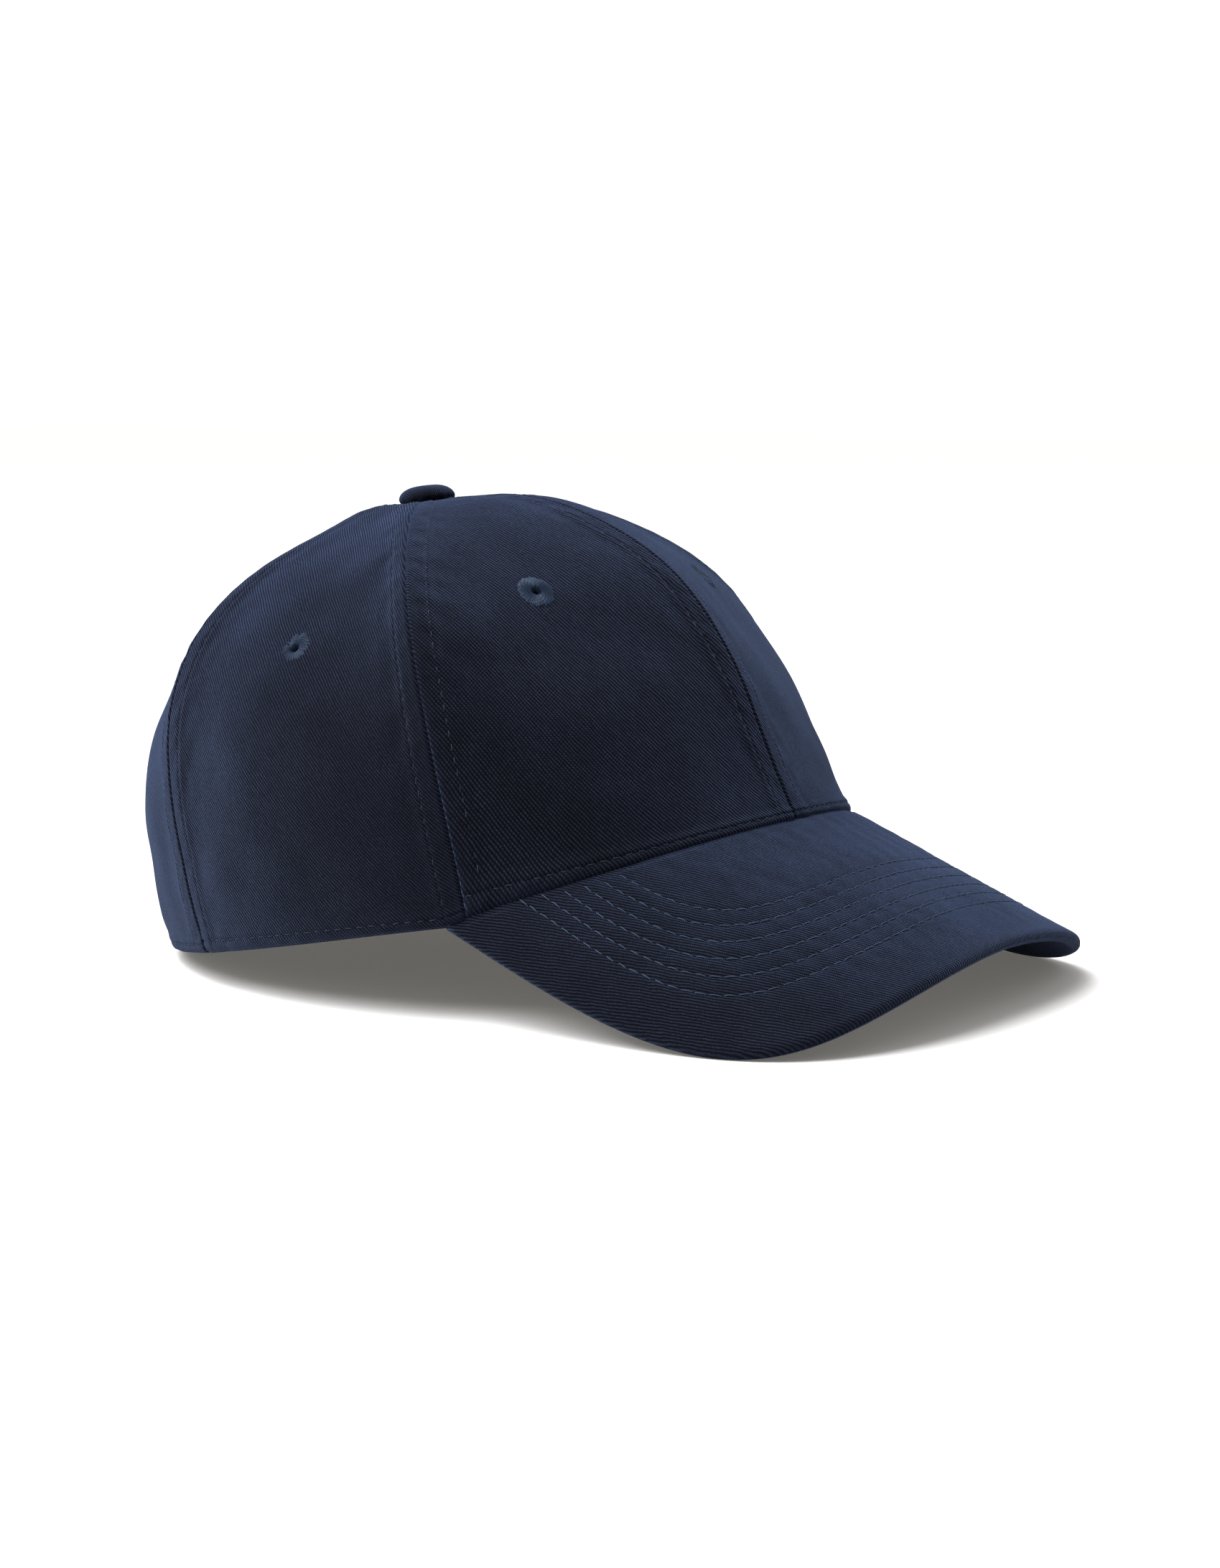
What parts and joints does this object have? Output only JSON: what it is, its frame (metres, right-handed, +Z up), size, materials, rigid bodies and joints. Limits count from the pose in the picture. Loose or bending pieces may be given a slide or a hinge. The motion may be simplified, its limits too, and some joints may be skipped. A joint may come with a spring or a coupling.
{
  "type": "baseball cap",
  "caption": "Structured cotton twill cap with seamed dome crown, covered top button, stitched curved peak and rear arched opening closed by a strap in a flip-lever buckle.",
  "frame": {"origin": "centre of the footprint, on the surface the cap rests on", "axes": "+Z up as the cap rests on a table, -Y where the peak points, -X the wearer's right"},
  "size_m": [0.1808, 0.2551, 0.1279],
  "materials": {
    "twill": "cotton twill, garment washed",
    "twill_peak": "cotton twill, garment washed",
    "twill_under": "cotton twill, garment washed",
    "twill_button": "cotton twill stretched over the button",
    "twill_strap": "cotton twill, folded and stitched",
    "binding": "cotton bias tape",
    "embroidery": "rayon embroidery thread",
    "buckram": "stiff fused cotton mesh",
    "seam_tape": "woven cotton tape",
    "sweatband_cloth": "cotton twill",
    "foam": "soft foam",
    "label": "woven satin, blank",
    "board": "flexible plastic sheet",
    "metal": "plain",
    "buckle_metal": "antiqued satin"
  },
  "bodies": {
    "cap": {"panel_front_left": "twill", "panel_front_right": "twill", "panel_side_left": "twill", "panel_side_right": "twill", "panel_back_left": "twill", "panel_back_right": "twill", "buckram_left": "buckram", "buckram_right": "buckram", "seam_tape_front": "seam_tape", "seam_tape_side_left": "seam_tape", "seam_tape_side_right": "seam_tape", "seam_tape_back_left": "seam_tape", "seam_tape_back_right": "seam_tape", "seam_tape_rear": "seam_tape", "sweatband": "sweatband_cloth", "brow_foam": "foam", "inner_label": "label", "arch_binding": "binding", "eyelets": "embroidery", "button_cover": "twill_button", "button_shell": "metal", "button_shank": "metal", "button_washer": "metal", "peak_top_cover": "twill_peak", "peak_board": "board", "peak_under_cover": "twill_under", "buckle_tab": "twill_strap", "buckle_frame": "buckle_metal", "buckle_pin": "buckle_metal"},
    "strap": {"strap": "twill_strap"},
    "buckle_lever": {"buckle_lever": "buckle_metal"}
  },
  "joints": [
    {"name": "strap_slide", "type": "hinge", "parent": "cap", "child": "strap", "pos_m": [0, 0.04424, 0.03175], "axis": [0, 0.2504, 0.9681], "range_deg": [-8, 8]},
    {"name": "lever_flip", "type": "hinge", "parent": "cap", "child": "buckle_lever", "pos_m": [0.01441, 0.11949, 0.01229], "axis": [0, 0.2504, 0.9681], "range_deg": [0, 105]}
  ]
}
